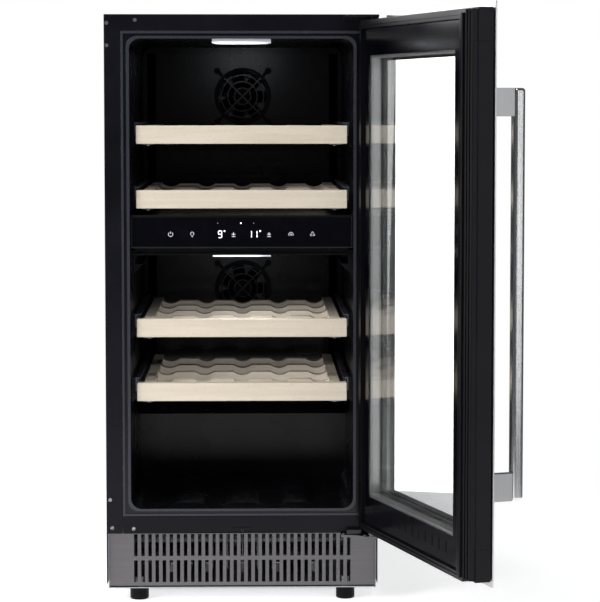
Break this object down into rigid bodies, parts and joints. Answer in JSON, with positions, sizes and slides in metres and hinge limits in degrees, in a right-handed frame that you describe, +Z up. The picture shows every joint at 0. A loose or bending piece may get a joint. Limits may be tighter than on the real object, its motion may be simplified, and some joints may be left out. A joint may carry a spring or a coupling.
{
  "type": "wine cooler",
  "caption": "Built-in dual-zone wine cooler with an open right-hinged glass door, sliding beech shelves, touch panel, slotted plinth and screw feet.",
  "frame": {"origin": "on the floor, at the middle of the four feet, which is the middle of the cabinet's footprint without its door", "axes": "+Z up, -Y towards the user and out of the opening, +Y towards the rear panel, +X towards the hinge side"},
  "size_m": [0.5432, 0.9021, 0.824],
  "materials": {
    "black_steel": "black powder coat, satin",
    "galvanised_steel": "galvanised sheet",
    "black_abs": "black moulded lining, soft gloss",
    "foam": "rigid polyurethane foam",
    "fascia_plastic": "black, satin",
    "panel_glass": "black printed touch glass",
    "light_lens": "white diffusing lens, lit",
    "evaporator_alu": "rolled",
    "fan_plastic": "black",
    "sensor_plastic": "off-white",
    "filter_plastic": "dark grey",
    "plinth_steel": "brushed across",
    "compressor_paint": "black enamel",
    "rubber": "black",
    "condenser_metal": "pale grey coated tube and fins",
    "tray_plastic": "black",
    "copper": "drawn copper tube",
    "rail_zinc": "zinc plated",
    "hinge_black": "black",
    "hinge_zinc": "zinc plated",
    "hinge_cover_plastic": "black",
    "screw_black": "blackened",
    "foot_plastic": "black",
    "beech": "beech, clear satin",
    "stainless": "brushed stainless",
    "stainless_bright": "satin stainless",
    "door_black": "dark grey, satin",
    "door_gloss": "black, high gloss",
    "door_glass": "clear",
    "door_glass_outer": "clear, black printed border",
    "spacer_alu": "matt, perforated",
    "gasket_vinyl": "black vinyl, magnetic"
  },
  "bodies": {
    "cabinet": {"outer_wrapper": "black_steel", "rear_panel": "black_steel", "base_pan": "galvanised_steel", "lower_front_rail": "black_steel", "inner_liner": "black_abs", "insulation_foam": "foam", "compartment_plate": "galvanised_steel", "zone_divider": "black_abs", "control_fascia": "fascia_plastic", "control_glass": "panel_glass", "zone_lights": "light_lens", "upper_duct_cover": "black_abs", "lower_duct_cover": "black_abs", "evaporators": "evaporator_alu", "fan_frames": "fan_plastic", "temperature_sensors": "sensor_plastic", "charcoal_filter": "filter_plastic", "kickplate": "plinth_steel", "compressor": "compressor_paint", "compressor_grommets": "rubber", "condenser_coil": "condenser_metal", "condenser_shroud": "fan_plastic", "drain_tray": "tray_plastic", "refrigerant_tubes": "copper", "power_box": "tray_plastic", "rear_grille": "tray_plastic", "fixed_rails": "rail_zinc", "upper_hinge": "hinge_black", "lower_hinge": "hinge_zinc", "lower_hinge_cover": "hinge_cover_plastic", "cabinet_screws": "screw_black"},
    "door": {"door_skin": "stainless", "door_frame": "door_black", "door_end_caps": "door_black", "door_inner_frame": "door_gloss", "outer_glass": "door_glass_outer", "inner_glass": "door_glass", "glass_spacer": "spacer_alu", "door_gasket": "gasket_vinyl", "handle_bar": "stainless_bright", "handle_posts": "stainless"},
    "shelf_1": {"shelf_1_front": "beech", "shelf_1_rack": "beech", "shelf_1_rails": "rail_zinc"},
    "shelf_2": {"shelf_2_front": "beech", "shelf_2_rack": "beech", "shelf_2_rails": "rail_zinc"},
    "shelf_3": {"shelf_3_front": "beech", "shelf_3_rack": "beech", "shelf_3_rails": "rail_zinc"},
    "shelf_4": {"shelf_4_front": "beech", "shelf_4_rack": "beech", "shelf_4_rails": "rail_zinc"},
    "foot_front_left": {"foot_front_left": "foot_plastic"},
    "foot_front_right": {"foot_front_right": "foot_plastic"},
    "foot_rear_left": {"foot_rear_left": "foot_plastic"},
    "foot_rear_right": {"foot_rear_right": "foot_plastic"},
    "upper_fan": {"upper_fan": "fan_plastic"},
    "lower_fan": {"lower_fan": "fan_plastic"},
    "condenser_fan": {"condenser_fan": "fan_plastic"}
  },
  "joints": [
    {"name": "door_hinge", "type": "hinge", "parent": "cabinet", "child": "door", "pos_m": [0.181, -0.2825, 0.45], "axis": [0, 0, 1], "range_deg": [-107, 8]},
    {"name": "shelf_1_slide", "type": "slide", "parent": "cabinet", "child": "shelf_1", "axis": [0, -1, 0], "range_m": [0, 0.26]},
    {"name": "shelf_2_slide", "type": "slide", "parent": "cabinet", "child": "shelf_2", "axis": [0, -1, 0], "range_m": [0, 0.26]},
    {"name": "shelf_3_slide", "type": "slide", "parent": "cabinet", "child": "shelf_3", "axis": [0, -1, 0], "range_m": [0, 0.26]},
    {"name": "shelf_4_slide", "type": "slide", "parent": "cabinet", "child": "shelf_4", "axis": [0, -1, 0], "range_m": [0, 0.26]},
    {"name": "foot_front_left_screw", "type": "slide", "parent": "cabinet", "child": "foot_front_left", "axis": [0, 0, -1], "range_m": [0, 0.02]},
    {"name": "foot_front_right_screw", "type": "slide", "parent": "cabinet", "child": "foot_front_right", "axis": [0, 0, -1], "range_m": [0, 0.02]},
    {"name": "foot_rear_left_screw", "type": "slide", "parent": "cabinet", "child": "foot_rear_left", "axis": [0, 0, -1], "range_m": [0, 0.02]},
    {"name": "foot_rear_right_screw", "type": "slide", "parent": "cabinet", "child": "foot_rear_right", "axis": [0, 0, -1], "range_m": [0, 0.02]},
    {"name": "upper_fan_spin", "type": "hinge", "parent": "cabinet", "child": "upper_fan", "pos_m": [0, 0.14, 0.713], "axis": [0, 1, 0], "continuous": true},
    {"name": "lower_fan_spin", "type": "hinge", "parent": "cabinet", "child": "lower_fan", "pos_m": [0, 0.14, 0.41238], "axis": [0, 1, 0], "continuous": true},
    {"name": "condenser_fan_spin", "type": "hinge", "parent": "cabinet", "child": "condenser_fan", "pos_m": [-0.075, 0.0505, 0.092], "axis": [0, 1, 0], "continuous": true}
  ]
}
